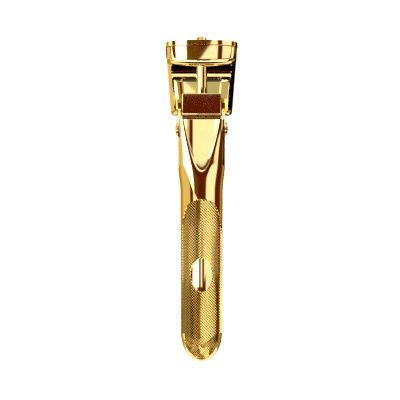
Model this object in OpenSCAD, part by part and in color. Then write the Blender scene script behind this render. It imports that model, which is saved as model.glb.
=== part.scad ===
// Pivoting single-edge safety razor, lying on its front with the back of its head up.
// X is the width, +Y runs from the grip to the cap, and Z is the height above the table.

/* [Head] */
// Width of the cap along the blade's edge
cap_w = 39; // [39:0.5:42]
// Thickness of the cap
cap_t = 2.6; // [2:0.1:3.5]
// Height of the cap's back edge above the table
cap_back = 21.8; // [21.6:0.1:22.4]
// Radius of the bulge of the cap's back
back_r = 45; // [35:1:80]
// Length of the head body from its foot to the blade seat
body_l = 35.5; // [35:0.1:37]
// Half-width of the body's foot
foot_hw = 16.8; // [16:0.1:17]
// Height of the pocket's rim
rim_z = 13.5; // [12:0.1:13.5]
// Height of the pocket's floor
floor_z = 8.5; // [8:0.1:9]

/* [Blade] */
// Length of the blade's edge
blade_l = 37.6; // [36:0.1:38]
// Width of the blade from edge to spine
blade_w = 11.6; // [11:0.1:12]
// Thickness of the blade
blade_t = 0.25; // [0.2:0.01:0.3]

/* [Slide] */
// Radius of the rod that carries the head
rod_r = 2.95; // [2.6:0.05:3]
// Radius of the rod's thin end
rod_end_r = 2; // [1.8:0.05:2.1]
// Height of the rod's axis
rod_z = 16.4; // [16.2:0.1:16.6]
// Radial clearance of each running fit
fit = 0.04; // [0.02:0.01:0.08]

/* [Pivot] */
// Height of the pivot's axis
pivot_z = 14.2; // [14:0.1:14.4]
// Distance of the pivot's axis from the middle of the razor
pivot_y = 38.8; // [38.5:0.1:39]
// Half-width of the carrier block
block_hw = 10.4; // [10:0.1:10.4]
// Radius of the block's barrel
barrel_r = 3.2; // [3:0.1:3.3]

/* [Handle] */
// Width of the neck
neck_w = 25; // [25:0.1:26]
// Width of the grip
grip_w = 22.7; // [21:0.1:24]
// Thickness of the handle
grip_t = 12; // [11.5:0.1:12]
// Height of the middle of the neck
neck_z = 16; // [15.8:0.1:16]
// Radius of the scoop in the neck
scoop_r = 18; // [17:0.5:20]

/* [Hidden] */
$fn = 64;
seam_y = 82.25;                      // blade seat, on the body's top
foot_y = seam_y - body_l;
cap_y = seam_y + blade_t + 0.02;     // underside of the cap
cap_top = cap_y + cap_t;
cap_front = 1.5;
cap_hw = cap_w / 2;
body_hw = cap_hw - 0.1;
body_front = 1.9;
plate_z = 6.5;                       // underside of the pocket's plate
wall_y = 73;                         // lower face of the head's box
ring_y = 68.6;                       // top of the pocket's frame
corner_r = 6.5;                      // back corners of the cap
box_r = 4.2;                         // lower corners of the box
bush_in = 0.8;                       // depth of the bush's face below the wall
bush_l = 1.4;
travel = 3;                          // way that the head slides down the rod
chamber_r = 3.7;
chamber_end = 81.2;
shoulder_y = 75.5;
seat_t = 0.6;
rod_foot = 49;
rod_top = cap_top + 1.8;
nut_r = 2.7;
pin_r = 1;
pin_x = 13;
pin_z = 9;
magnet_r = 2;
magnet_x = 7;
magnet_z = 6;
guard_r = 1.2;
guard_y = 78.6;
block_foot = 45.3;
block_top = 57.1;
block_low = 11.3;
block_high = 20.6;
arm_in = 10.9;
arm_out = neck_w / 2;
arm_tip = 49.5;
web_z = 17.9;
channel_end = 31;
crotch_y = 43.2;
sleeve_r = 2.8;
shank_r = 2;
thread_r = 1.6;
screw_head_r = 3.8;
screw_head_t = 1.6;
lock_r = 1.25;
lock_y = 53;
heel_y = 3.4;                        // back of the heel, from the pivot's axis
plunger_z = pivot_z + 1.8;
plunger_r = 1.3;
plunger_bore = 21;
plunger_foot = 27.5;
tail_y = -72;                        // where the grip starts to round off
tail_l = 16.3;
tail_end_a = 84;                     // angle of the last ring of the rounded end
nut_top = tail_l * sin(tail_end_a) - tail_y;
neck_start = 19.4;
grip_start = 5;
scoop_end = 12.5;
scoop_slope = 6.05;

gold = [0.86, 0.62, 0.2];
steel = [0.75, 0.76, 0.78];

// Points of an arc from angle a to angle b
function arc(x, y, r, a, b, steps = 8) =
    [for (i = [0 : steps]) [x + r * cos(a + (b - a) * i / steps), y + r * sin(a + (b - a) * i / steps)]];
function mirrored(points) = [for (i = [len(points) - 1 : -1 : 0]) [-points[i][0], points[i][1]]];
function mix(a, b, t) = a + (b - a) * t;
function smooth(t) = t < 0 ? 0 : t > 1 ? 1 : t * t * (3 - 2 * t);
function signed_pow(v, e) = sign(v) * pow(abs(v), e);
function side_hw(y) = mix(foot_hw, body_hw, (y - foot_y) / body_l);

// Lays an X-Y drawing into X-Z and gives it a thickness from y0 to y1
module along_y(y0, y1) {
    translate([0, y1, 0]) rotate([90, 0, 0]) linear_extrude(y1 - y0) children();
}

// Stands a round bar along Y
module rod_y(r, y0, y1, z = rod_z, x = 0) {
    translate([x, y1, z]) rotate([90, 0, 0]) cylinder(r = r, h = y1 - y0);
}

// Lays a round bar along X
module rod_x(r, x0, x1, y = pivot_y, z = pivot_z) {
    translate([x0, y, z]) rotate([0, 90, 0]) cylinder(r = r, h = x1 - x0);
}

// Block from one corner to the opposite one
module span(low, high) {
    translate(low) cube(high - low);
}

// Plan of the cap: straight front, bulged back, round corners
module head_plan(hw, front, back) {
    corner_x = hw - corner_r;
    corner_a = asin(corner_x / (back_r - corner_r));
    corner_z = back - back_r + (back_r - corner_r) * cos(corner_a);
    half = concat(
        arc(hw - 1.5, front + 1.5, 1.5, -90, 0, 4),
        arc(corner_x, corner_z, corner_r, 0, 90 - corner_a),
        arc(0, back - back_r, back_r, 90 - corner_a, 90, 12));
    polygon(concat(half, mirrored(half)));
}

// Outline of the body from the cap's side, with round foot corners
module body_outline(inset = 0, from = foot_y, to = seam_y, r = 2.2) {
    half = concat(
        arc(side_hw(from) - inset - r, from + r, r, -90, 0),
        [[side_hw(to) - inset, to]]);
    polygon(concat(half, mirrored(half)));
}

// Outline of the pocket, round at all four corners
module pocket_outline(inset, from, to, r = 1.6) {
    half = concat(
        arc(side_hw(from) - inset - r, from + r, r, -90, 0),
        arc(side_hw(to) - inset - r, to - r, r, 0, 90));
    polygon(concat(half, mirrored(half)));
}

// Lower part of the body: sloping front, sides that lean in to the pocket's rim
module body_tray() {
    lean_z = 9;
    intersection() {
        translate([-cap_hw, 0, 0]) rotate([90, 0, 90]) linear_extrude(cap_w)
            polygon([[foot_y, plate_z], [66, plate_z], [75.5, body_front],
                     [seam_y, body_front], [seam_y, lean_z], [foot_y, lean_z]]);
        linear_extrude(lean_z) body_outline();
    }
    hull() {
        translate([0, 0, lean_z - 0.1]) linear_extrude(0.1) body_outline();
        translate([0, 0, rim_z - 0.1]) linear_extrude(0.1) body_outline(inset = 2.1, from = foot_y + 0.6);
    }
}

// Box of the head, which carries the spring and the blade
module body_box() {
    intersection() {
        along_y(wall_y, seam_y) head_plan(body_hw, body_front, cap_back - 0.1);
        linear_extrude(cap_back) body_outline(from = wall_y, r = box_r);
    }
}

module head_body() {
    color(gold) difference() {
        union() {
            body_tray();
            body_box();
        }
        span([-side_hw(ring_y) + 3, ring_y, plate_z + 0.8], [side_hw(ring_y) - 3, wall_y, cap_back]);
        hull() {
            translate([0, 0, floor_z]) linear_extrude(0.1) pocket_outline(4.6, foot_y + 2.6, ring_y - 3);
            translate([0, 0, rim_z]) linear_extrude(0.1) pocket_outline(3, foot_y + 1.6, ring_y - 2);
        }
        span([-arm_out - 0.4, foot_y - 1, floor_z], [arm_out + 0.4, arm_tip + travel + 1, cap_back]);
        rod_y(rod_r + 0.25, block_top, wall_y + bush_in);
        rod_y(chamber_r, wall_y + bush_in, chamber_end);
        rod_y(rod_end_r + fit, chamber_end - 1, seam_y + 1);
        for (side = [-1, 1]) {
            rod_y(pin_r + fit, 77, seam_y + 1, pin_z, side * pin_x);
            rod_y(magnet_r, 80.75, seam_y + 1, magnet_z, side * magnet_x);
        }
        rod_x(guard_r, -cap_hw, cap_hw, guard_y, guard_r);
    }
}

module rod_bush() {
    color(steel) difference() {
        rod_y(chamber_r, wall_y + bush_in, wall_y + bush_in + bush_l);
        rod_y(rod_r + fit, wall_y, wall_y + bush_in + bush_l + 1);
    }
}

module guard_bar() {
    color(gold) rod_x(guard_r, -body_hw + 1, body_hw - 1, guard_y, guard_r);
}

module blade() {
    edge_z = 0.9;
    color(steel) difference() {
        translate([-blade_l / 2, 0, 0]) rotate([90, 0, 90]) linear_extrude(blade_l)
            polygon([[seam_y, edge_z + blade_w], [seam_y, edge_z + 0.7], [seam_y + blade_t / 2, edge_z],
                     [seam_y + blade_t, edge_z + 0.7], [seam_y + blade_t, edge_z + blade_w]]);
        for (side = [-1, 1])
            rod_y(pin_r + 0.2, seam_y - 1, cap_top, pin_z, side * pin_x);
    }
}

module blade_magnets() {
    color(steel) for (side = [-1, 1])
        rod_y(magnet_r, 80.75, seam_y, magnet_z, side * magnet_x);
}

module cap() {
    color(gold) difference() {
        along_y(cap_y, cap_top) head_plan(cap_hw, cap_front, cap_back);
        rod_y(rod_end_r, cap_y - 1, cap_top + 1);
        for (side = [-1, 1])
            rod_y(pin_r, cap_y - 1, cap_top - 1, pin_z, side * pin_x);
    }
}

module guide_pins() {
    color(steel) for (side = [-1, 1])
        rod_y(pin_r, 77.5, cap_top - 1, pin_z, side * pin_x);
}

module guide_rod() {
    color(gold) {
        rod_y(rod_r, rod_foot, shoulder_y);
        rod_y(rod_end_r, shoulder_y - 1, rod_top);
    }
}

module spring_seat() {
    color(steel) difference() {
        rod_y(chamber_r - 0.2, shoulder_y, shoulder_y + seat_t);
        rod_y(rod_end_r, shoulder_y - 1, shoulder_y + seat_t + 1);
    }
}

// Coil spring along Y, a swept ring of wire
module coil(y0, y1, z, mean_r, wire_r, turns) {
    steps = 14;
    sides = 6;
    count = turns * steps;
    pitch = (y1 - y0 - 2 * wire_r) / turns;
    points = [for (i = [0 : count], j = [0 : sides - 1])
        let (a = 360 * i / steps, b = 360 * j / sides, r = mean_r + wire_r * cos(b))
        [r * cos(a), y0 + wire_r + pitch * i / steps + wire_r * sin(b), z + r * sin(a)]];
    walls = [for (i = [0 : count - 1], j = [0 : sides - 1])
        let (k = (j + 1) % sides)
        [i * sides + j, i * sides + k, (i + 1) * sides + k, (i + 1) * sides + j]];
    ends = [[for (j = [sides - 1 : -1 : 0]) j], [for (j = [0 : sides - 1]) count * sides + j]];
    polyhedron(points, concat(walls, ends));
}

module slide_spring() {
    color(steel) coil(shoulder_y + seat_t, chamber_end, rod_z, 2.8, 0.35, 4);
}

// Domed nut with a slot across its face
module cap_nut() {
    dome_y = nut_top - 1.3;
    dome_r = (nut_r * nut_r + 1.69) / 2.6;
    color(gold) difference() {
        union() {
            rod_y(nut_r, cap_top + 0.02, dome_y);
            intersection() {
                translate([0, nut_top - dome_r, rod_z]) sphere(dome_r);
                rod_y(nut_r, dome_y, nut_top);
            }
        }
        rod_y(rod_end_r + fit, cap_top - 1, rod_top + 0.1);
        span([-nut_r, nut_top - 0.7, rod_z - 0.4], [nut_r, nut_top + 1, rod_z + 0.4]);
    }
}

module pivot_block() {
    chamfer = 0.6;
    color(gold) difference() {
        union() {
            translate([-block_hw, 0, 0]) rotate([90, 0, 90]) linear_extrude(2 * block_hw)
                polygon([[block_foot, block_low], [block_top, block_low], [block_top, block_high],
                         [block_foot + chamfer, block_high], [block_foot, block_high - chamfer]]);
            span([-block_hw, pivot_y, block_low], [block_hw, block_foot + 1, pivot_z + 1.5]);
            span([-2, pivot_y - heel_y, pivot_z], [2, pivot_y, pivot_z + 3]);
            rod_x(barrel_r, -block_hw, block_hw);
        }
        rod_y(rod_r, rod_foot, block_top + 1);
        rod_x(thread_r, -block_hw - 1, -6);
        rod_x(thread_r, 6, block_hw + 1);
        translate([0, lock_y, block_low - 1]) cylinder(r = lock_r, h = rod_z - block_low);
    }
}

module rod_lock_screw() {
    color(steel) difference() {
        translate([0, lock_y, block_low]) cylinder(r = lock_r, h = rod_z - block_low);
        rod_y(rod_r, rod_foot, block_top);
        translate([0, lock_y, block_low - 1]) cylinder(r = 0.7, h = 1.8, $fn = 6);
    }
}

// Shoulder screw with a domed head and a slot, drawn on the right side
module pivot_screw() {
    head_x = arm_out + 0.05 - block_hw;
    rim_x = head_x + 0.7;
    face_x = head_x + screw_head_t;
    thread_end = 6.5 - block_hw;
    dome_r = (pow(screw_head_r, 2) + pow(face_x - rim_x, 2)) / (2 * (face_x - rim_x));
    dome_a = asin(screw_head_r / dome_r);
    profile = concat(
        [[0, thread_end], [thread_r, thread_end], [thread_r, 0], [shank_r, 0], [shank_r, head_x],
         [screw_head_r, head_x]],
        arc(0, face_x - dome_r, dome_r, 90 - dome_a, 90, 10));
    color(gold) difference() {
        translate([block_hw, pivot_y, pivot_z]) rotate([0, 90, 0]) rotate_extrude() polygon(profile);
        span([block_hw + face_x - 0.8, pivot_y - 2.4, pivot_z - 0.4],
             [block_hw + face_x + 1, pivot_y + 2.4, pivot_z + 0.4]);
    }
}

module pivot_screw_right() {
    pivot_screw();
}

module pivot_screw_left() {
    mirror([1, 0, 0]) pivot_screw();
}

module pivot_washers() {
    color(steel) for (side = [0, 1])
        mirror([side, 0, 0]) difference() {
            rod_x(3, block_hw, arm_in - 0.05);
            rod_x(shank_r, block_hw - 1, arm_in + 1);
        }
}

module pivot_bush() {
    color(steel) difference() {
        rod_x(sleeve_r, arm_in, arm_out);
        rod_x(shank_r + fit, arm_in - 1, arm_out + 1);
    }
}

module pivot_bush_right() {
    pivot_bush();
}

module pivot_bush_left() {
    mirror([1, 0, 0]) pivot_bush();
}

// Pin with a ball end that presses on the heel of the block
module return_plunger() {
    tip_y = pivot_y - heel_y - 0.1;
    color(steel) {
        rod_y(plunger_r - fit, plunger_foot, tip_y - plunger_r + fit, plunger_z);
        translate([0, tip_y - plunger_r + fit, plunger_z]) sphere(plunger_r - fit);
    }
}

module return_spring() {
    color(steel) coil(plunger_bore, plunger_foot, plunger_z, 0.95, 0.25, 5);
}

// Half-width, half-thickness, height and roundness of the handle at y
function tail(y) = y > tail_y ? 1 : sqrt(1 - pow((tail_y - y) / tail_l, 2));
function neck(y) = smooth((y - grip_start) / (neck_start - grip_start));
function handle_hw(y) = mix(grip_w, neck_w, neck(y)) / 2 * tail(y);
function handle_ht(y) = grip_t / 2 * pow(tail(y), 0.8);
function handle_z(y) = mix(grip_t / 2, neck_z, smooth((y + 60) / 80));
function handle_round(y) = 2 / mix(2.3, 4, neck(y));

module handle_form() {
    sides = 32;
    tail_steps = [for (a = [tail_end_a : -12 : 0]) tail_y - tail_l * sin(a)];
    grip_steps = [for (y = [-64 : 8 : 0]) y];
    neck_steps = [for (y = [grip_start : 2.4 : neck_start]) y];
    rings = concat(tail_steps, grip_steps, neck_steps, [28, 36, crotch_y]);
    points = [for (y = rings, j = [0 : sides - 1])
        let (a = 360 * j / sides)
        [handle_hw(y) * signed_pow(cos(a), handle_round(y)), y,
         handle_z(y) + handle_ht(y) * signed_pow(sin(a), handle_round(y))]];
    last = len(rings) - 1;
    walls = [for (i = [0 : last - 1], j = [0 : sides - 1])
        let (k = (j + 1) % sides)
        [i * sides + j, i * sides + k, (i + 1) * sides + k, (i + 1) * sides + j]];
    ends = [[for (j = [sides - 1 : -1 : 0]) j], [for (j = [0 : sides - 1]) last * sides + j]];
    polyhedron(points, concat(walls, ends));
}

// Fork arm on the right side, round at its tip
module fork_arm() {
    tip_r = 2;
    translate([arm_in, 0, 0]) rotate([90, 0, 90]) linear_extrude(arm_out - arm_in) {
        translate([34, 11.8]) square([arm_tip - tip_r - 34, 9.2]);
        translate([34, 11.8 + tip_r]) square([arm_tip - 34, 9.2 - 2 * tip_r]);
        translate([arm_tip - tip_r, 11.8 + tip_r]) circle(tip_r);
        translate([arm_tip - tip_r, 21 - tip_r]) circle(tip_r);
    }
}

module handle() {
    color(gold) difference() {
        union() {
            handle_form();
            fork_arm();
            mirror([1, 0, 0]) fork_arm();
        }
        span([-arm_in, channel_end, 0], [arm_in, 60, web_z]);
        span([-arm_in, crotch_y, 0], [arm_in, 60, 30]);
        translate([0, scoop_end, neck_z + grip_t / 2 + scoop_r]) rotate([-90 - scoop_slope, 0, 0])
            cylinder(r = scoop_r, h = 60, $fn = 128);
        rod_x(sleeve_r, -20, 20);
        rod_y(plunger_r, plunger_bore, channel_end + 1, plunger_z);
    }
}

handle();
pivot_bush_left();
pivot_bush_right();
return_plunger();
return_spring();
pivot_block();
pivot_screw_left();
pivot_screw_right();
pivot_washers();
guide_rod();
rod_lock_screw();
spring_seat();
slide_spring();
cap();
guide_pins();
cap_nut();
head_body();
rod_bush();
guard_bar();
blade();
blade_magnets();
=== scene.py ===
import math
import bmesh
import bpy
from mathutils import Matrix, Vector


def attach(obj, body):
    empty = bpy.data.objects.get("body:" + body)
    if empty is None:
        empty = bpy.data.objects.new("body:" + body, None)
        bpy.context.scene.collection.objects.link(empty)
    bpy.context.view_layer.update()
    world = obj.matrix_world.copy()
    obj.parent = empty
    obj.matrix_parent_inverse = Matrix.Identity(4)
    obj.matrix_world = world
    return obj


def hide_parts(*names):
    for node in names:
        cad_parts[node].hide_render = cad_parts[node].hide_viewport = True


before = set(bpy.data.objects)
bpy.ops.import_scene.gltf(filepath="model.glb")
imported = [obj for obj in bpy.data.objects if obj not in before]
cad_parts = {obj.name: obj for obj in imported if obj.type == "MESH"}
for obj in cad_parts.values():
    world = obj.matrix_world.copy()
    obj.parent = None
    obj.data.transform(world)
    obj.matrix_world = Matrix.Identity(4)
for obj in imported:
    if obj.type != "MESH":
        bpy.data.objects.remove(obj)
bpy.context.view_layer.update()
mm = 0.001  # sizes are in millimetres, except in shaders and in the studio


class Wire:
    # one socket of a shader: an expression on wires adds its own Math nodes
    def __init__(self, board, socket):
        self.board = board
        self.socket = socket

    def math(self, operation, *others):
        inputs = {0: self}
        for place, other in enumerate(others):
            inputs[place + 1] = other
        return self.board.add("ShaderNodeMath", {"operation": operation}, inputs)

    def __add__(self, other):
        return self.math("ADD", other)

    def __radd__(self, other):
        return self.math("ADD", other)

    def __mul__(self, other):
        return self.math("MULTIPLY", other)

    def __rmul__(self, other):
        return self.math("MULTIPLY", other)

    def __sub__(self, other):
        return self.math("SUBTRACT", other)

    def __rsub__(self, other):
        return (self * -1.0).math("ADD", other)

    def __truediv__(self, other):
        return self.math("DIVIDE", other)

    def __rtruediv__(self, other):
        return self.math("POWER", -1.0) * other

    def ramp(self, stops):
        return self.board.add("ShaderNodeValToRGB", {"stops": stops}, {0: self})

    def rise(self, low, high):
        # 0 below low, 1 above high, smooth between them
        settings = {"interpolation_type": "SMOOTHSTEP"}
        inputs = {"Value": self, "From Min": low, "From Max": high}
        return self.board.add("ShaderNodeMapRange", settings, inputs)


class Board:
    # one node tree, to which wires add their nodes
    def __init__(self, tree):
        self.tree = tree
        self.tree.nodes.clear()

    def add(self, kind, settings=None, inputs=None, output=0):
        node = self.tree.nodes.new(kind)
        for key, value in (settings or {}).items():
            if key == "stops":
                self.setStops(node.color_ramp, value)
            else:
                setattr(node, key, value)
        for key, value in (inputs or {}).items():
            if isinstance(value, Wire):
                self.tree.links.new(value.socket, node.inputs[key])
            else:
                node.inputs[key].default_value = value
        return Wire(self, node.outputs[output]) if node.outputs else node

    def setStops(self, ramp, stops):
        while len(ramp.elements) < len(stops):
            ramp.elements.new(0.5)
        for element, (place, color) in zip(ramp.elements, stops):
            element.position = place
            element.color = (*color, 1.0)

    def mix(self, factor, first, second):
        settings = {"data_type": "RGBA"}
        return self.add("ShaderNodeMix", settings, {0: factor, 6: first, 7: second}, output=2)

    def noise(self, place, scale, detail):
        return self.add("ShaderNodeTexNoise", {}, {"Vector": place, "Scale": scale, "Detail": detail})

    def stretched(self, factors):
        place = self.add("ShaderNodeTexCoord", output=3)
        return self.add("ShaderNodeMapping", {}, {"Vector": place, "Scale": factors})


def newMaterial(name):
    material = bpy.data.materials.new(name)
    material.use_nodes = True
    return material, Board(material.node_tree)


# what all the metals share: where wear starts and ends in its noise, and how fine the noises are
wheel = {"wearFrom": 0.45, "wearTo": 0.75, "patchDetail": 3.0, "markDetail": 2.0, "markDepth": 0.00002}


def metalMaterial(name, look):
    # wear dulls the polish in soft patches, marks are fine lines left by the wheel
    material, board = newMaterial(name)
    place = board.stretched((1, 1, 1))
    lines = board.stretched(look["grain"])
    patch = board.noise(place, look["patchScale"], wheel["patchDetail"])
    marks = board.noise(lines, look["markScale"], wheel["markDetail"])
    worn = patch.rise(wheel["wearFrom"], wheel["wearTo"])
    shade = board.mix(worn * look["tint"], (*look["color"], 1), (*look["worn"], 1))
    rough = look["roughness"] + worn * look["wear"] + marks * look["markRoughness"]
    relief = {"Strength": look["bump"], "Distance": wheel["markDepth"], "Height": marks}
    bump = board.add("ShaderNodeBump", {}, relief)
    inputs = {"Base Color": shade, "Roughness": rough, "Metallic": 1.0, "Normal": bump}
    surface = board.add("ShaderNodeBsdfPrincipled", {}, inputs)
    board.add("ShaderNodeOutputMaterial", {}, {"Surface": surface})
    return material


goldColor = (1.0, 0.78, 0.34)
goldDeep = (0.97, 0.7, 0.26)
looks = {
    "polishedGold": {"color": goldColor, "worn": goldDeep, "tint": 0.5, "roughness": 0.025, "wear": 0.02,
                     "markRoughness": 0.015, "bump": 0.03, "grain": (1, 0.2, 1), "patchScale": 90,
                      "markScale": 900},
    # the knurl's gold is darker than the polished gold: painted shade in its grooves
    "knurlGoldPaintedShade": {"color": (0.68, 0.47, 0.14), "worn": (0.62, 0.4, 0.1), "tint": 0.7, "roughness": 0.08,
                    "wear": 0.02, "markRoughness": 0.01, "bump": 0.02, "grain": (1, 1, 1), "patchScale": 60,
                    "markScale": 1500},
    "turnedGold": {"color": goldColor, "worn": goldDeep, "tint": 0.4, "roughness": 0.04, "wear": 0.02,
                   "markRoughness": 0.03, "bump": 0.05, "grain": (1, 6, 1), "patchScale": 120,
                    "markScale": 500},
    "springSteel": {"color": (0.62, 0.62, 0.63), "worn": (0.45, 0.44, 0.43), "tint": 0.8, "roughness": 0.22,
                    "wear": 0.12, "markRoughness": 0.1, "bump": 0.1, "grain": (1, 5, 1), "patchScale": 200,
                    "markScale": 900},
    "bushBronze": {"color": (0.62, 0.38, 0.18), "worn": (0.4, 0.22, 0.1), "tint": 0.8, "roughness": 0.3,
                   "wear": 0.15, "markRoughness": 0.1, "bump": 0.1, "grain": (6, 1, 1), "patchScale": 200,
                   "markScale": 700},
    "bladeSteel": {"color": (0.66, 0.67, 0.68), "worn": (0.5, 0.5, 0.52), "tint": 0.6, "roughness": 0.18,
                   "wear": 0.08, "markRoughness": 0.15, "bump": 0.1, "grain": (0.15, 1, 4), "patchScale": 80,
                   "markScale": 900},
    "magnetNickel": {"color": (0.72, 0.71, 0.68), "worn": (0.5, 0.49, 0.46), "tint": 0.5, "roughness": 0.12,
                     "wear": 0.1, "markRoughness": 0.05, "bump": 0.05, "grain": (1, 1, 1), "patchScale": 200,
                     "markScale": 900},
}
# a near-black copy of the polished gold: painted shade and painted dark reflection for the head's recesses
looks["darkRecess"] = dict(looks["polishedGold"], color=(0.012, 0.007, 0.003), worn=(0.03, 0.015, 0.004),
                           roughness=0.3, wear=0.1)
materials = {name: metalMaterial(name, look) for name, look in looks.items()}
print("materials made")


def newObject(name, mesh, material):
    piece = bpy.data.objects.new(name, mesh)
    bpy.context.scene.collection.objects.link(piece)
    if mesh.materials:
        mesh.materials.clear()
    mesh.materials.append(materials[material])
    return piece


def meshFrom(bm, name):
    bmesh.ops.recalc_face_normals(bm, faces=bm.faces[:])
    mesh = bpy.data.meshes.new(name)
    bm.to_mesh(mesh)
    bm.free()
    return mesh


def smoothBy(mesh, degrees):
    mesh.shade_smooth()
    mesh.set_sharp_from_angle(angle=math.radians(degrees))


def finishPiece(piece, body, slot, *replaced):
    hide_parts(*replaced)
    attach(piece, body)


def evenNormals(piece):
    even = piece.modifiers.new("evenNormals", "WEIGHTED_NORMAL")
    even.keep_sharp = True


def softEdges(piece, width, angle, segments):
    bevel = piece.modifiers.new("softEdges", "BEVEL")
    bevel.width = width * mm
    bevel.segments = segments
    bevel.limit_method = "ANGLE"
    bevel.angle_limit = math.radians(angle)
    bevel.harden_normals = True
    bevel.use_clamp_overlap = True
    evenNormals(piece)


def roundLongEdges(bm, look):
    # only the sharp edges that are long and above a height, so that the short ones don't clamp them
    least = math.radians(look["angle"])
    sharp = [e for e in bm.edges if len(e.link_faces) == 2 and e.calc_face_angle(0) > least]
    chosen = [e for e in sharp if e.calc_length() > look["leastLength"] * mm
              and min(v.co.y for v in e.verts) > look["above"] * mm]
    bmesh.ops.bevel(bm, geom=chosen, offset=look["round"] * mm, affect="EDGES", segments=look["segments"],
                    profile=0.5, material=-1)


def polishedCopy(node, name, material, look):
    # a clean copy of the frame's node, its edges rounded as polishing rounds them
    bm = bmesh.new()
    bm.from_mesh(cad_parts[node].data)
    bmesh.ops.remove_doubles(bm, verts=bm.verts[:], dist=0.000005)
    bmesh.ops.dissolve_limit(bm, angle_limit=math.radians(0.6), verts=bm.verts[:], edges=bm.edges[:])
    hasLongEdges = "leastLength" in look
    if hasLongEdges:
        roundLongEdges(bm, look)
    mesh = bpy.data.meshes.new(name)
    bm.to_mesh(mesh)
    bm.free()
    smoothBy(mesh, look["angle"])
    piece = newObject(name, mesh, material)
    if hasLongEdges:
        evenNormals(piece)
    else:
        softEdges(piece, look["round"], look["angle"], look["segments"])
    return piece


def loftOf(rings, name):
    # closed solid through rings that have the same number of points
    bm = bmesh.new()
    loop = [bm.verts.new(Vector(point) * mm) for point in rings[0]]
    first = bm.faces.new(loop)
    edges = first.edges[:]
    for ring in rings[1:]:
        grown = bmesh.ops.extrude_edge_only(bm, edges=edges)["geom"]
        fresh = [item for item in grown if isinstance(item, bmesh.types.BMVert)]
        edges = [item for item in grown if isinstance(item, bmesh.types.BMEdge)
                 and all(v in fresh for v in item.verts)]
        # each new point stands on the old one until it is moved
        byPlace = {tuple(v.co): v for v in fresh}
        loop = [byPlace[tuple(v.co)] for v in loop]
        for vert, point in zip(loop, ring):
            vert.co = Vector(point) * mm
    bm.faces.new(loop)
    return newObject(name, meshFrom(bm, name), "polishedGold")


def blockOf(low, high):
    # a block between two corners, still in millimetres
    low = Vector(low)
    high = Vector(high)
    bm = bmesh.new()
    bmesh.ops.create_cube(bm, size=1.0)
    bmesh.ops.transform(bm, matrix=Matrix.Translation((low + high) / 2) @ Matrix.Diagonal((*(high - low), 1)),
                        verts=bm.verts[:])
    return bm


def cutBox(name, low, high):
    bm = blockOf(low, high)
    bmesh.ops.scale(bm, vec=(mm, mm, mm), verts=bm.verts[:])
    return newObject(name, meshFrom(bm, name), "polishedGold")


def barAlong(name, axis, radius, start, end, segments=64):
    # plain round bar between two points of one axis
    start = Vector(start)
    end = Vector(end)
    bm = bmesh.new()
    bmesh.ops.create_cone(bm, cap_ends=True, segments=segments, radius1=radius, radius2=radius,
                          depth=(end - start).length)
    turn = {"X": Matrix.Rotation(math.pi / 2, 4, "Y"), "Y": Matrix.Rotation(-math.pi / 2, 4, "X")}[axis]
    bmesh.ops.transform(bm, matrix=Matrix.Scale(mm, 4) @ Matrix.Translation((start + end) / 2) @ turn,
                        verts=bm.verts[:])
    return newObject(name, meshFrom(bm, name), "polishedGold")


def carve(piece, steps):
    # applies cuts and joins one after another, and removes the tools
    for operation, tool in steps:
        cut = piece.modifiers.new("carve", "BOOLEAN")
        cut.operation = operation
        cut.object = tool
        cut.solver = "EXACT"
        graph = bpy.context.evaluated_depsgraph_get()
        mesh = bpy.data.meshes.new_from_object(piece.evaluated_get(graph))
        piece.modifiers.clear()
        piece.data = mesh
        bpy.data.objects.remove(tool)


def smoothStep(value):
    value = min(max(value, 0.0), 1.0)
    return value * value * (3 - 2 * value)


def between(first, second, share):
    return first + (second - first) * share


# the handle: an oval grip that squares off towards the fork, scooped out on its back
grip = {
    "sides": 156, "gripWidth": 22.7, "neckWidth": 25.0, "thickness": 12.0, "neckZ": 16.0,
    "tailY": -72.0, "tailLength": 16.25, "neckStart": 19.4, "gripStart": 5.0, "crotchY": 43.2,
    "scoopRadius": 18.0, "scoopEnd": 12.5, "scoopSlope": 0.106, "rimSoftness": 0.5,
    "gripRound": 2.0, "neckRound": 5.0, "boxyFrom": 8.0, "boxyPower": 2.5,
    "knurlPitch": 1.48, "knurlDepth": 0.3, "knurlLift": 0.45, "knurlTop": 1.0, "knurlFoot": -86.0,
    "knurlRim": 0.84, "patchY": -40.0, "patchWidth": 6.0, "patchLength": 9.4, "patchDepth": 0.1,
    "archDrop": 2, "archWidth": 7, "shoulderDrop": 4, "shoulderWidth": 9, "leastFold": 0.3,
    "riseFrom": -60, "riseLength": 80, "tailFlatness": 0.8, "scoopFade": 4,
    "outlineSteps": 1440, "tailRings": 12, "neckRings": 72,
}


def tailShare(y):
    # the outline's half-ellipse at the tail
    if y > grip["tailY"]:
        return 1.0
    return math.sqrt(max(0.0, 1 - ((grip["tailY"] - y) / grip["tailLength"]) ** 2))


def neckShare(y):
    return smoothStep((y - grip["gripStart"]) / (grip["neckStart"] - grip["gripStart"]))


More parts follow.
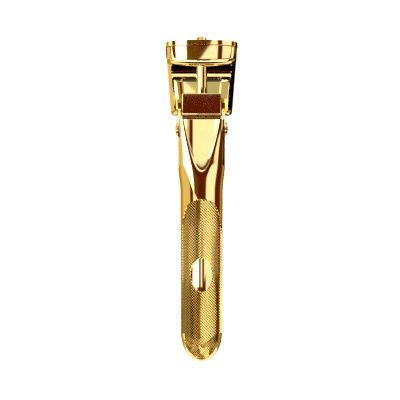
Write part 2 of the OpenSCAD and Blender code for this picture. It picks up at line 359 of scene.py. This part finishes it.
def handleRing(y):
    # points of one cross-section, evenly spaced along its outline
    halfWidth = between(grip["gripWidth"], grip["neckWidth"], neckShare(y)) / 2 * tailShare(y)
    halfHeight = grip["thickness"] / 2 * tailShare(y) ** grip["tailFlatness"]
    rise = smoothStep((y - grip["riseFrom"]) / grip["riseLength"])
    middle = between(grip["thickness"] / 2, grip["neckZ"], rise)
    boxy = max(0.0, (y - grip["boxyFrom"]) / (grip["crotchY"] - grip["boxyFrom"])) ** grip["boxyPower"]
    power = 2 / between(grip["gripRound"], grip["neckRound"], boxy)
    trace = []
    for step in range(grip["outlineSteps"] + 1):
        angle = math.tau * step / grip["outlineSteps"]
        x = halfWidth * math.copysign(abs(math.cos(angle)) ** power, math.cos(angle))
        z = halfHeight * math.copysign(abs(math.sin(angle)) ** power, math.sin(angle))
        trace.append((x, z))
    reach = [0.0]
    for first, second in zip(trace, trace[1:]):
        reach.append(reach[-1] + math.dist(first, second))
    ring = []
    place = 0
    for side in range(grip["sides"]):
        wanted = reach[-1] * side / grip["sides"]
        while reach[place + 1] < wanted:
            place += 1
        share = (wanted - reach[place]) / max(reach[place + 1] - reach[place], 1e-9)
        x = between(trace[place][0], trace[place + 1][0], share)
        z = between(trace[place][1], trace[place + 1][1], share)
        ring.append(Vector((x, y, middle + z)))
    return ring


def patchShare(point):
    # 0 in the middle of the plain oval, 1 on its outline
    return math.hypot(point.x / grip["patchWidth"], (point.y - grip["patchY"]) / grip["patchLength"])


def isKnurled(point, isBack):
    # arch at the top, round rim at the tail, and a plain oval for the thumb on the back
    x = abs(point.x)
    arch = grip["archDrop"] * (x / grip["archWidth"]) ** 2
    shoulder = grip["shoulderDrop"] * (x / grip["shoulderWidth"]) ** 6
    if point.y > grip["knurlTop"] - arch - shoulder:
        return False
    along = max(0.0, grip["tailY"] - point.y) / grip["tailLength"]
    if along > 0 and math.hypot(along, x / (grip["gripWidth"] / 2)) > grip["knurlRim"]:
        return False
    return patchShare(point) > 1 or not isBack


def knurlHeight(across, along):
    # 0 in a groove, 1 on a diamond's point
    pitch = grip["knurlPitch"]
    height = 1.0
    for turn in (across + along, across - along):
        phase = (turn / pitch) % 1.0
        height = min(height, 2 * min(phase, 1 - phase))
    return height


def scoopHeight(point):
    # a round hollow along the neck, deeper towards the fork
    scoop = grip["scoopRadius"]
    axis = grip["neckZ"] + grip["thickness"] / 2 + scoop - (point.y - grip["scoopEnd"]) * grip["scoopSlope"]
    if abs(point.x) >= scoop:
        return axis
    return axis - math.sqrt(scoop * scoop - point.x * point.x)


def softMin(first, second, softness):
    blendShare = min(max(0.5 + 0.5 * (second - first) / softness, 0.0), 1.0)
    return between(second, first, blendShare) - softness * blendShare * (1 - blendShare)


def handleStations():
    # where the cross-sections stand: close at the tail, on the knurl's own step, then evenly up the neck
    fineStep = grip["knurlPitch"] / 4
    tailTip = grip["tailY"] - grip["tailLength"]
    turns = [math.pi / 2 * i / grip["tailRings"] for i in range(grip["tailRings"])]
    tip = [tailTip + (grip["knurlFoot"] - tailTip) * (1 - math.cos(turn)) for turn in turns]
    tip[0] = tailTip + 0.005  # the last ring is small but not a point
    count = int((grip["knurlTop"] + 1 - grip["knurlFoot"]) / fineStep)
    fineRings = [grip["knurlFoot"] + fineStep * i for i in range(count)]
    neckFrom = fineRings[-1] + fineStep
    shares = [i / grip["neckRings"] for i in range(grip["neckRings"] + 1)]
    neckRings = [between(neckFrom, grip["crotchY"], share) for share in shares]
    return tip + fineRings + neckRings


def creaseGrooves(bm, cuts):
    # a face that a groove crosses is folded along it, from one low corner to the other
    for face in bm.faces[:]:
        if len(face.verts) != 4 or any(v not in cuts for v in face.verts):
            continue
        depths = [cuts[v] for v in face.verts]
        fold = depths[0] + depths[2] - depths[1] - depths[3]
        if abs(fold) > grip["leastFold"]:
            start = 0 if fold > 0 else 1
            bmesh.utils.face_split(face, face.verts[start], face.verts[start + 2])


def makeHandle():
    stations = handleStations()
    bm = bmesh.new()
    bmesh.ops.create_cone(bm, cap_ends=True, segments=grip["sides"], radius1=1, radius2=1, depth=1)
    posts = [e for e in bm.edges if abs(e.verts[0].co.z - e.verts[1].co.z) > 0.5]
    bmesh.ops.subdivide_edges(bm, edges=posts, cuts=len(stations) - 2, use_grid_fill=True)
    rings = [handleRing(y) for y in stations]
    spacing = grip["knurlPitch"] / 4
    cuts = {}
    for vert in bm.verts:
        row = round((vert.co.z + 0.5) * (len(stations) - 1))
        column = round(math.atan2(vert.co.y, vert.co.x) / math.tau * grip["sides"]) % grip["sides"]
        ring = rings[row]
        point = ring[column].copy()
        before = ring[column - 1]
        after = ring[(column + 1) % grip["sides"]]
        outward = Vector((after.z - before.z, 0, before.x - after.x)).normalized()
        isBack = outward.z > 0
        if isKnurled(point, isBack):
            cuts[vert] = 1 - knurlHeight(column * spacing, point.y - grip["knurlFoot"])
            point -= outward * grip["knurlDepth"] * (cuts[vert] - grip["knurlLift"])
        elif isBack and patchShare(point) < 1:
            point -= outward * grip["patchDepth"]
        if isBack and point.y > grip["scoopEnd"] - grip["scoopFade"]:
            point.z = softMin(point.z, scoopHeight(point), grip["rimSoftness"])
        vert.co = point * mm
    creaseGrooves(bm, cuts)
    # knurled faces are flat-shaded and take the second material, the gold darkened with painted groove shade
    for face in bm.faces:
        isCut = len(face.verts) < 5 and any(v in cuts for v in face.verts)
        face.material_index = 1 if isCut else 0
        face.smooth = not isCut
    mesh = meshFrom(bm, "handleForm")
    piece = newObject("polishedHandle", mesh, "polishedGold")
    mesh.materials.append(materials["knurlGoldPaintedShade"])
    return piece


fork = {
    "inside": 10.9, "outside": 12.5, "footY": 34, "tipY": 49.5, "low": 12.6, "high": 20.0, "tipRadius": 2.4,
    "rimRound": 0.3, "channelEnd": 31.0, "channelTop": 60, "webZ": 17.9, "pivotY": 38.8, "pivotZ": 14.2,
    "sleeveRadius": 2.8, "boreReach": 20, "topFrom": 17, "topFall": 0.028, "levelY": 40, "sharpAngle": 38,
}


def makeArm(side):
    # its top falls a little towards the tip
    bm = blockOf((fork["inside"], fork["footY"], fork["low"]), (fork["outside"], fork["tipY"], fork["high"]))
    tipEdges = [e for e in bm.edges if all(v.co.y > fork["levelY"] for v in e.verts)
                and abs(e.verts[0].co.x - e.verts[1].co.x) > 1]
    bmesh.ops.bevel(bm, geom=tipEdges, offset=fork["tipRadius"], affect="EDGES", segments=10, profile=0.5,
                    material=-1)
    rims = [e for e in bm.edges if len(e.link_faces) == 2 and e.calc_face_angle(0) > 1
            and all(v.co.y > fork["footY"] + 1 for v in e.verts)]
    bmesh.ops.bevel(bm, geom=rims, offset=fork["rimRound"], affect="EDGES", segments=4, profile=0.5,
                    material=-1)
    for vert in bm.verts:
        if vert.co.z > fork["topFrom"]:
            vert.co.z -= fork["topFall"] * (vert.co.y - fork["levelY"])
    bmesh.ops.scale(bm, vec=(mm * side, mm, mm), verts=bm.verts[:])
    return newObject("arm", meshFrom(bm, "arm"), "polishedGold")


handlePiece = makeHandle()
channelLow = (-fork["inside"], fork["channelEnd"], 0)
channelHigh = (fork["inside"], fork["channelTop"], fork["webZ"])
boreLeft = (-fork["boreReach"], fork["pivotY"], fork["pivotZ"])
boreRight = (fork["boreReach"], fork["pivotY"], fork["pivotZ"])
carve(handlePiece, [
    ("DIFFERENCE", cutBox("channel", channelLow, channelHigh)),
    ("UNION", makeArm(1)),
    ("UNION", makeArm(-1)),
    ("DIFFERENCE", barAlong("bore", "X", fork["sleeveRadius"], boreLeft, boreRight)),
])
smoothFaces = [face.use_smooth for face in handlePiece.data.polygons]
handlePiece.data.set_sharp_from_angle(angle=math.radians(fork["sharpAngle"]))
handlePiece.data.polygons.foreach_set("use_smooth", smoothFaces)
finishPiece(handlePiece, "handle", "gold_casting", "handle")
print("handle made", len(handlePiece.data.polygons))


# the head's body: a box under the cap, a trough, and a pocket in a rimmed tray
head = {
    "seamY": 82.25, "wallY": 73.0, "footY": 46.75, "ringY": 68.6, "bodyHalf": 19.4, "footHalf": 16.8,
    "backZ": 21.7, "frontZ": 1.9, "backRadius": 45.0, "cornerRadius": 6.5, "rimZ": 13.5, "floorZ": 8.5,
    "rimRound": 0.45, "floorTilt": 0.105, "underRound": 3.3, "footRound": 2.2, "rodZ": 16.4, "rodGroove": 3.2,
    "pocketTop": 67.1, "pocketFoot": 47.95, "pocketCorner": 1.8, "bow": 1.4, "bowFrom": 8, "bowOver": 6,
    "boxSteps": 20, "lip": 0.12, "lipHeight": 0.15, "trayReach": 3, "beadInset": 2.1, "sharpAngle": 26,
}


def arcPoints(x, y, radius, start, end, steps):
    turn = [math.radians(between(start, end, i / steps)) for i in range(steps + 1)]
    return [(x + radius * math.cos(a), y + radius * math.sin(a)) for a in turn]


def mirroredRing(half):
    return half + [(-x, y) for x, y in reversed(half) if x > 1e-6]


def headPlan(halfWidth, front, back, corner):
    radius = head["backRadius"]
    cornerX = halfWidth - corner
    lean = math.degrees(math.asin(cornerX / (radius - corner)))
    cornerZ = back - radius + (radius - corner) * math.cos(math.radians(lean))
    half = arcPoints(halfWidth - 1.5, front + 1.5, 1.5, -90, 0, 5)
    half += arcPoints(cornerX, cornerZ, corner, 0, 90 - lean, 12)
    half += arcPoints(0, back - radius, radius, 90 - lean, 90, 16)[1:]
    return mirroredRing(half)


def sideHalf(y):
    return between(head["footHalf"], head["bodyHalf"], (y - head["footY"]) / (head["seamY"] - head["footY"]))


def trayOutline(inset, footY, topY, foot, top=0):
    half = arcPoints(sideHalf(footY) - inset - foot, footY + foot, foot, -90, 0, 10)
    if top:
        half += arcPoints(sideHalf(topY) - inset - top, topY - top, top, 0, 90, 10)
    else:
        half += [(sideHalf(topY) - inset, topY)]
    return mirroredRing(half)


def bowAt(share, z):
    # the back wall's lower side hangs down in the middle
    return head["bow"] * (1 - share ** 2) * smoothStep((z - head["bowFrom"]) / head["bowOver"])


def makeBox():
    # straight under the seam, rounded in under the back wall
    slices = []
    for step in range(head["boxSteps"] + 1):
        turn = math.pi / 2 * (1 - step / head["boxSteps"])
        y = head["wallY"] + head["underRound"] * (1 - math.sin(turn))
        inset = head["underRound"] * (1 - math.cos(turn))
        half = sideHalf(y) - 1.5 * inset
        plan = headPlan(half, head["frontZ"], head["backZ"] - inset, head["cornerRadius"] - 0.6 * inset)
        slices.append([(x, y - bowAt(x / half, z), z) for x, z in plan])
    top = headPlan(head["bodyHalf"], head["frontZ"], head["backZ"], head["cornerRadius"])
    slices.append([(x, head["seamY"] - head["lipHeight"], z) for x, z in top])
    lip = head["lip"]
    rim = headPlan(head["bodyHalf"] - lip, head["frontZ"] + lip, head["backZ"] - lip, head["cornerRadius"])
    slices.append([(x, head["seamY"], z) for x, z in rim])
    return loftOf(slices, "polishedHead")


def makeTray():
    # the sides lean in to a rim that is round across its top
    rings = []
    topY = head["wallY"] + head["trayReach"]
    bead = head["rimRound"]
    levels = [(6.5, 0.7), (6.65, 0.35), (7.0, 0.1), (7.6, 0.0), (9.0, 0.0), (10.2, 0.4), (11.4, 1.05),
              (12.4, 1.7)]
    for step in range(9):
        turn = math.pi / 2 * step / 8
        z = head["rimZ"] - bead * (1 - math.sin(turn))
        levels.append((z, head["beadInset"] + bead * (1 - math.cos(turn))))
    for z, inset in levels:
        ring = trayOutline(inset, head["footY"] + inset * 0.35, topY, head["footRound"])
        rings.append([(x, y, z) for x, y in ring])
    return loftOf(rings, "tray")


# the nose's lower side goes down along Y, each pair is a place and a height
nose = {"levels": [(66.0, 6.6), (75.0, 2.1), (76.0, 1.9), (80.0, 1.9)], "top": 9.0, "edge": 0.5}


def makeNose():
    # front of the head, sloping from the box down to the plate
    rings = []
    edge = nose["edge"]
    for y, low in nose["levels"]:
        half = sideHalf(y)
        rings.append([(-half, y, nose["top"]), (-half, y, low + edge), (-half + edge, y, low),
                      (half - edge, y, low), (half, y, low + edge), (half, y, nose["top"])])
    return loftOf(rings, "nose")


def makePocket():
    # a tilted floor that turns up into the sides in a wide curve
    rings = []
    height = head["rimZ"] - head["floorZ"]
    slope = [(0, 8.4), (0.05, 7.4), (0.2, 6.6), (0.42, 5.9), (0.68, 5.2), (0.98, 4.6), (1.3, 4.0),
             (1.65, 3.45), (2.0, 2.95), (2.4, 2.7), (3.2, 2.6), (4.2, 2.5)]
    levels = slope + [(height - 0.25, 2.45), (height - 0.06, 2.36), (height, 2.2), (height + 0.5, 2.15)]
    for rise, inset in levels:
        deep = inset - 2.4
        foot = head["pocketFoot"] + 0.2 * deep
        top = head["pocketTop"] - 0.06 * deep
        outline = trayOutline(inset, foot, top, head["pocketCorner"], head["pocketCorner"])
        ring = []
        for x, y in outline:
            tilt = (head["pocketTop"] - y) * head["floorTilt"] * max(0.0, 1 - rise / height)
            ring.append((x, y, head["floorZ"] + rise + tilt))
        rings.append(ring)
    return loftOf(rings, "pocket")


# each level is a height, the inset of its ends and its lower side's place along Y
trough = {
    "levels": [(7.3, 2.3, 70.9), (7.6, 2.0, 70.6), (11.3, 2.0, 70.5), (11.5, 2.0, 70.0), (12.9, 2.0, 69.1),
               (13.6, 2.0, 68.5)],
    "overlap": 0.05,
}


def makeTrough():
    # its lower side has a narrow ledge half-way up
    rings = []
    for z, inset, low in trough["levels"]:
        half = sideHalf(head["ringY"]) - inset
        top = head["wallY"] + trough["overlap"]
        rings.append([(-half, low, z), (half, low, z), (half, top, z), (-half, top, z)])
    return loftOf(rings, "trough")


# radius and ends along Y of the round cuts on the rod's axis, and the seats of the small parts
rodCuts = {
    "rodGroove": (head["rodGroove"], 57, 73), "rodMouth": (head["rodGroove"], 72, 75),
    "rodWell": (3.7, 73.8, 81.2), "rodHole": (2.04, 80, 84),
}
seats = {
    "notchHalf": fork["outside"] + 0.4, "notchLow": 40, "notchHigh": 53.5, "notchTop": 30,
    "guardRadius": 1.2, "guardHalf": 22, "guardY": 78.6, "guardZ": 1.2,
    "pinHole": {"radius": 1.04, "x": 13, "z": 9, "foot": 77, "sides": 32},
    "magnetHole": {"radius": 2.0, "x": 7, "z": 6, "foot": 80.75, "sides": 48},
    "holeTop": 84,
}


def rodAxis(foot, top):
    return (0, foot, head["rodZ"]), (0, top, head["rodZ"])


def makeNotch():
    half = seats["notchHalf"]
    low = (-half, seats["notchLow"], head["floorZ"])
    high = (half, seats["notchHigh"], seats["notchTop"])
    return cutBox("notch", low, high)


def makeGuardSeat():
    half = seats["guardHalf"]
    ends = [(x, seats["guardY"], seats["guardZ"]) for x in (-half, half)]
    return barAlong("guardSeat", "X", seats["guardRadius"], *ends)


def makeSeat(name, side):
    hole = seats[name]
    ends = [(side * hole["x"], y, hole["z"]) for y in (hole["foot"], seats["holeTop"])]
    return barAlong(name, "Y", hole["radius"], *ends, hole["sides"])


# how far the painted shade reaches, a near-black material standing in for shade and dark reflections; a tilt
# is a part of the face's normal
dark = {
    "troughFoot": 68.9, "troughLow": 7, "troughHigh": 13.1, "troughPast": 0.2, "sideInset": 1.6,
    "ledgeLow": 11, "ledgeTilt": 0.7, "rimInset": 2.3, "aboveFloor": 0.2, "belowRim": 0.1, "pastTop": 0.5,
    "wallTilt": -0.62, "aboveFoot": 3, "topInset": 0.3, "topReach": 0.9, "topTilt": 0.95,
}


def isPaintedShade(face):
    # the trough, and the pocket's walls under the box and on the right, get painted shade
    x, y, z = face.center / mm
    alongTrough = dark["troughFoot"] < y < head["wallY"] + dark["troughPast"]
    inTrough = alongTrough and dark["troughLow"] < z < dark["troughHigh"]
    isLedge = face.normal.z > dark["ledgeTilt"] and z > dark["ledgeLow"]
    isSide = abs(x) > sideHalf(y) - dark["sideInset"]
    insideRim = abs(x) < sideHalf(y) - dark["rimInset"]
    aboveFloor = head["floorZ"] + dark["aboveFloor"] < z < head["rimZ"] - dark["belowRim"]
    alongPocket = head["footY"] + dark["aboveFoot"] < y < head["pocketTop"] + dark["pastTop"]
    isRightWall = alongPocket and aboveFloor and insideRim and face.normal.x < dark["wallTilt"]
    isUnderRim = abs(y - head["pocketTop"] + dark["topInset"]) < dark["topReach"]
    isSteep = face.normal.z < dark["topTilt"]
    isTopWall = isUnderRim and insideRim and isSteep and head["floorZ"] < z < head["rimZ"]
    return (inTrough and not isLedge and not isSide) or isRightWall or isTopWall


headPiece = makeBox()
carve(headPiece, [
    ("UNION", makeTray()),
    ("UNION", makeNose()),
    ("DIFFERENCE", makeTrough()),
    ("DIFFERENCE", makePocket()),
    ("DIFFERENCE", makeNotch()),
])
for name, (radius, foot, top) in rodCuts.items():
    carve(headPiece, [("DIFFERENCE", barAlong(name, "Y", radius, *rodAxis(foot, top)))])
carve(headPiece, [("DIFFERENCE", makeGuardSeat())])
for side in (-1, 1):
    for name in ("pinHole", "magnetHole"):
        carve(headPiece, [("DIFFERENCE", makeSeat(name, side))])
# the trough and the pocket's walls get the near-black material as painted shade
headPiece.data.materials.append(materials["darkRecess"])
for face in headPiece.data.polygons:
    if isPaintedShade(face):
        face.material_index = 1
smoothBy(headPiece.data, head["sharpAngle"])
evenNormals(headPiece)
finishPiece(headPiece, "head", "gold_casting", "head_body")
print("head made", len(headPiece.data.polygons))

# how each fitting's edges are rounded; the angle is the least that counts as an edge
cap = {"round": 0.3, "angle": 35, "segments": 4}
block = {"round": 0.5, "angle": 30, "segments": 5, "leastLength": 8, "above": 45.2}
nut = {"round": 0.15, "angle": 35, "segments": 3}
guard = {"round": 0.3, "angle": 35, "segments": 4}
screw = {"round": 0.12, "angle": 35, "segments": 3}
rod = {
    "radius": 3.08, "foot": 49, "shoulder": 75.5, "sides": 128,
    "endRadius": 2.0, "endFoot": 74, "top": 86.9, "endSides": 96, "angle": 35,
}


def makeRod():
    # a thick bar in front of the head and a thin end through it
    bar = rodAxis(rod["foot"], rod["shoulder"])
    end = rodAxis(rod["endFoot"], rod["top"])
    piece = barAlong("polishedRod", "Y", rod["radius"], *bar, rod["sides"])
    carve(piece, [("UNION", barAlong("rodEnd", "Y", rod["endRadius"], *end, rod["endSides"]))])
    piece.data.materials.clear()
    piece.data.materials.append(materials["polishedGold"])
    smoothBy(piece.data, rod["angle"])
    return piece


finishPiece(polishedCopy("cap", "polishedCap", "polishedGold", cap), "carrier", "gold_casting", "cap")
blockPiece = polishedCopy("pivot_block", "polishedBlock", "polishedGold", block)
finishPiece(blockPiece, "carrier", "gold_casting", "pivot_block")
finishPiece(makeRod(), "carrier", "gold_fitting", "guide_rod")
finishPiece(polishedCopy("cap_nut", "domedNut", "turnedGold", nut), "nut", "gold_fitting", "cap_nut")
guardPiece = polishedCopy("guard_bar", "polishedGuard", "turnedGold", guard)
finishPiece(guardPiece, "head", "gold_fitting", "guard_bar")
for side in ("left", "right"):
    node = "pivot_screw_" + side
    screwPiece = polishedCopy(node, "domedScrew_" + side, "turnedGold", screw)
    finishPiece(screwPiece, "carrier", "gold_fitting", node)
print("fittings made")

# nodes that stay as they are, with a finish of their own
kept = {
    "return_plunger": "springSteel", "return_spring": "springSteel", "rod_lock_screw": "springSteel",
    "spring_seat": "springSteel", "slide_spring": "springSteel", "guide_pins": "springSteel",
    "pivot_bush_left": "bushBronze", "pivot_bush_right": "bushBronze", "pivot_washers": "bushBronze",
    "rod_bush": "bushBronze", "blade": "bladeSteel", "blade_magnets": "magnetNickel",
}
for node, material in kept.items():
    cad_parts[node].data.materials.clear()
    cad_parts[node].data.materials.append(materials[material])
print("kept nodes finished", len(kept))

# the floor is in metres, as the softboxes are
studio = {
    "cameraX": -0.8, "cameraY": 0.6, "cameraZ": 370.0, "lens": 59.55, "floorSize": 4.0, "floorGlow": 0.6,
}


def makeFloor():
    bm = bmesh.new()
    bmesh.ops.create_grid(bm, x_segments=1, y_segments=1, size=studio["floorSize"] / 2)
    material, board = newMaterial("paleFloor")
    inputs = {"Base Color": (0.9, 0.9, 0.9, 1), "Roughness": 0.9, "Emission Color": (1, 1, 1, 1),
              "Emission Strength": studio["floorGlow"]}
    surface = board.add("ShaderNodeBsdfPrincipled", {}, inputs)
    board.add("ShaderNodeOutputMaterial", {}, {"Surface": surface})
    materials["paleFloor"] = material
    floor = newObject("paleFloor", meshFrom(bm, "paleFloor"), "paleFloor")
    floor.visible_glossy = False


def makeCamera():
    data = bpy.data.cameras.new("camera")
    data.lens = studio["lens"]
    data.clip_start = 0.01
    camera = bpy.data.objects.new("camera", data)
    camera.location = Vector((studio["cameraX"], studio["cameraY"], studio["cameraZ"])) * mm
    bpy.context.scene.collection.objects.link(camera)
    bpy.context.scene.camera = camera


# the room, as a reflection sees it: colours across the width by degrees from straight up, on shelves
# that start at "from" along Y, from behind the tail to ahead of the cap
white = (1.0, 1.0, 1.0)
pale = (0.29, 0.29, 0.29)
sand = (0.2, 0.16, 0.07)
khaki = (0.125, 0.13, 0.1)
amber = (0.12, 0.075, 0.003)
brown = (0.037, 0.0145, 0.0)
wine = (0.026, 0.0035, 0.0)
black = (0.0, 0.0, 0.0)
leftWall = [(-180, amber), (-150, sand), (-110, sand), (-68, sand), (-65, wine), (-60, wine)]
rightWall = [(48, wine), (82, wine), (92, amber), (118, amber), (126, black), (180, black)]
shelves = {
    "low": {"from": -2.0, "soft": 0.01, "lean": 0.0, "stops": [
        (-180, amber), (-100, sand), (-80, amber), (-60, brown), (-40, wine), (40, wine), (70, brown),
        (92, amber), (118, amber), (126, black), (180, black)]},
    "band": {"from": -0.62, "soft": 0.01, "lean": 0.0, "stops": [
        (-180, amber), (-100, sand), (-80, sand), (-62, wine), (-58, white), (58, white), (62, wine),
        (80, brown), (92, amber), (118, amber), (126, black), (180, black)]},
    "behind": {"from": -0.47, "soft": 0.01, "lean": 0.0, "stops": [
        (-180, amber), (-100, amber), (-80, sand), (-40, sand), (-36, brown), (-29, wine), (-27, white),
        (-9, white), (-8, brown), (-3, brown), (-2, pale), (2, pale), (3, wine), (8, wine), (9, pale),
        (44, pale)] + rightWall},
    "tip": {"from": -0.34, "soft": 0.01, "lean": 0.0, "stops": [
        (-180, amber), (-100, amber), (-80, sand), (-40, sand), (-36, wine), (-27, wine), (-25, pale),
        (-14, pale), (-12, brown), (-2, wine), (14, wine), (18, pale), (44, pale)] + rightWall},
    "overhead": {"from": -0.33, "soft": 0.02, "lean": 1.74, "stops": leftWall + [
        (-58, white), (-25, white), (-22, brown), (-12, brown), (-8, wine), (8, wine), (12, brown),
        (16, pale), (44, pale)] + rightWall},
    "neck": {"from": -0.02, "soft": 0.02, "lean": 0.0, "stops": leftWall + [
        (-58, white), (-25, white), (-22, brown), (-12, brown), (-8, wine), (50, wine), (53, pale),
        (64, pale), (67, wine), (80, wine), (86, black), (180, black)]},
    "facing": {"from": 0.166, "soft": 0.002, "lean": 0.0, "stops": [
        (-180, brown), (-124, brown), (-118, sand), (-76, sand), (-73, wine), (-62, wine), (-60, white),
        (-28, white), (-26, khaki), (-7, khaki), (-5, pale), (18, pale), (21, wine), (62, wine),
        (64, pale), (86, pale), (92, brown), (140, brown), (150, sand), (180, brown)]},
    "crown": {"from": 0.197, "soft": 0.004, "lean": 0.0, "stops": [
        (-180, amber), (-150, sand), (-112, sand), (-104, wine), (-96, wine), (-90, pale), (-53, pale),
        (-51, wine), (-38, wine), (-36, white), (-23, white), (-21, brown), (-8, brown), (4, wine),
        (14, brown), (17, pale), (23, pale), (24, wine), (30, wine), (31, pale), (56, pale), (59, wine),
        (80, wine), (86, amber), (105, amber), (112, black), (180, black)]},
    "ahead": {"from": 0.254, "soft": 0.01, "lean": 0.0, "stops": [
        (-180, amber), (-150, sand), (-118, sand), (-110, black), (-60, black), (-57, pale),
        (-52, white), (-44, pale), (28, pale), (31, wine), (40, wine), (44, sand), (50, sand),
        (53, white), (112, white), (118, amber), (126, black), (180, black)]},
}
pool = [(-180, black), (-56, black), (-52, khaki), (8, khaki), (10, wine), (26, wine), (29, amber),
        (44, amber), (47, white), (112, white), (118, amber), (126, black), (180, black)]
room = {
    "strength": 4.0, "poolFrom": 0.382, "poolLean": 0.052, "poolReach": 0.05, "wedgeFrom": 0.205,
    "wedgeLean": 0.57, "glowFrom": -0.55, "glowBelow": 0.18, "lipFrom": 0.62,
}


def stopsOf(tints):
    # degrees from straight up become places on a ramp
    return [(angle / 360 + 0.5, tint) for angle, tint in tints]


def makeWorld():
    world = bpy.data.worlds.new("room")
    world.use_nodes = True
    bpy.context.scene.world = world
    board = Board(world.node_tree)
    direction = board.add("ShaderNodeTexCoord")
    parts = board.add("ShaderNodeSeparateXYZ", {}, {0: direction})
    ports = parts.socket.node.outputs
    x = Wire(board, ports[0])
    y = Wire(board, ports[1])
    z = Wire(board, ports[2])
    turn = x.math("ARCTAN2", z) / math.tau + 0.5
    color = None
    for shelf in shelves.values():
        layer = turn.ramp(stopsOf(shelf["stops"]))
        if color is None:
            color = layer
            continue
        height = y + (turn - 0.5) * shelf["lean"]
        color = board.mix(height.rise(shelf["from"], shelf["from"] + shelf["soft"]), color, layer)
    # a slanted pale wedge over the crown
    wedgeEdge = y - (turn - 0.5) * room["wedgeLean"]
    isWedge = turn.rise(0.486, 0.488) * (1 - turn.rise(0.561, 0.564)) * y.rise(0.197, 0.2)
    isWedge = isWedge * (1 - wedgeEdge.rise(room["wedgeFrom"], room["wedgeFrom"] + 0.008))
    color = board.mix(isWedge, color, (*pale, 1))
    # the pool ahead of the cap, a pale glow low behind the tail, and a pale lip furthest ahead
    layer = turn.ramp(stopsOf(pool))
    poolEdge = y + turn.rise(0.5 - 0.006, 0.5 + 0.006) * room["poolLean"]
    poolEdge = poolEdge + (1 - turn.rise(0.45, 0.46)) * room["poolReach"]
    color = board.mix(poolEdge.rise(room["poolFrom"], room["poolFrom"] + 0.003), color, layer)
    isBehind = 1 - y.rise(room["glowFrom"] - 0.04, room["glowFrom"])
    isGlow = isBehind * (1 - z.rise(room["glowBelow"] - 0.05, room["glowBelow"]))
    color = board.mix(isGlow, color, (*pale, 1))
    color = board.mix(y.rise(room["lipFrom"], room["lipFrom"] + 0.05), color, (*pale, 1))
    shade = board.add("ShaderNodeBackground", {}, {"Color": color, "Strength": room["strength"]})
    board.add("ShaderNodeOutputWorld", {}, {"Surface": shade})


softboxes = {
    "leftSoftbox": {"place": (-0.62, 0.05, 0.5), "size": (0.24, 0.9), "power": 3.0},
    "rightSoftbox": {"place": (0.3, 0.1, 0.75), "size": (0.05, 0.7), "power": 0.6},
}


def makeSoftbox(name, box):
    # aimed at the middle of the object
    data = bpy.data.lights.new(name, "AREA")
    data.shape = "RECTANGLE"
    data.size = box["size"][0]
    data.size_y = box["size"][1]
    data.energy = box["power"]
    light = bpy.data.objects.new(name, data)
    light.location = box["place"]
    light.rotation_euler = (-Vector(box["place"])).to_track_quat("-Z", "Y").to_euler()
    light.visible_glossy = False
    bpy.context.scene.collection.objects.link(light)


makeFloor()
makeCamera()
makeWorld()
for name, box in softboxes.items():
    makeSoftbox(name, box)
bpy.context.scene.view_settings.view_transform = "Standard"
# the knurl is finer than what denoising leaves standing
bpy.context.scene.cycles.use_denoising = False
print("studio made")
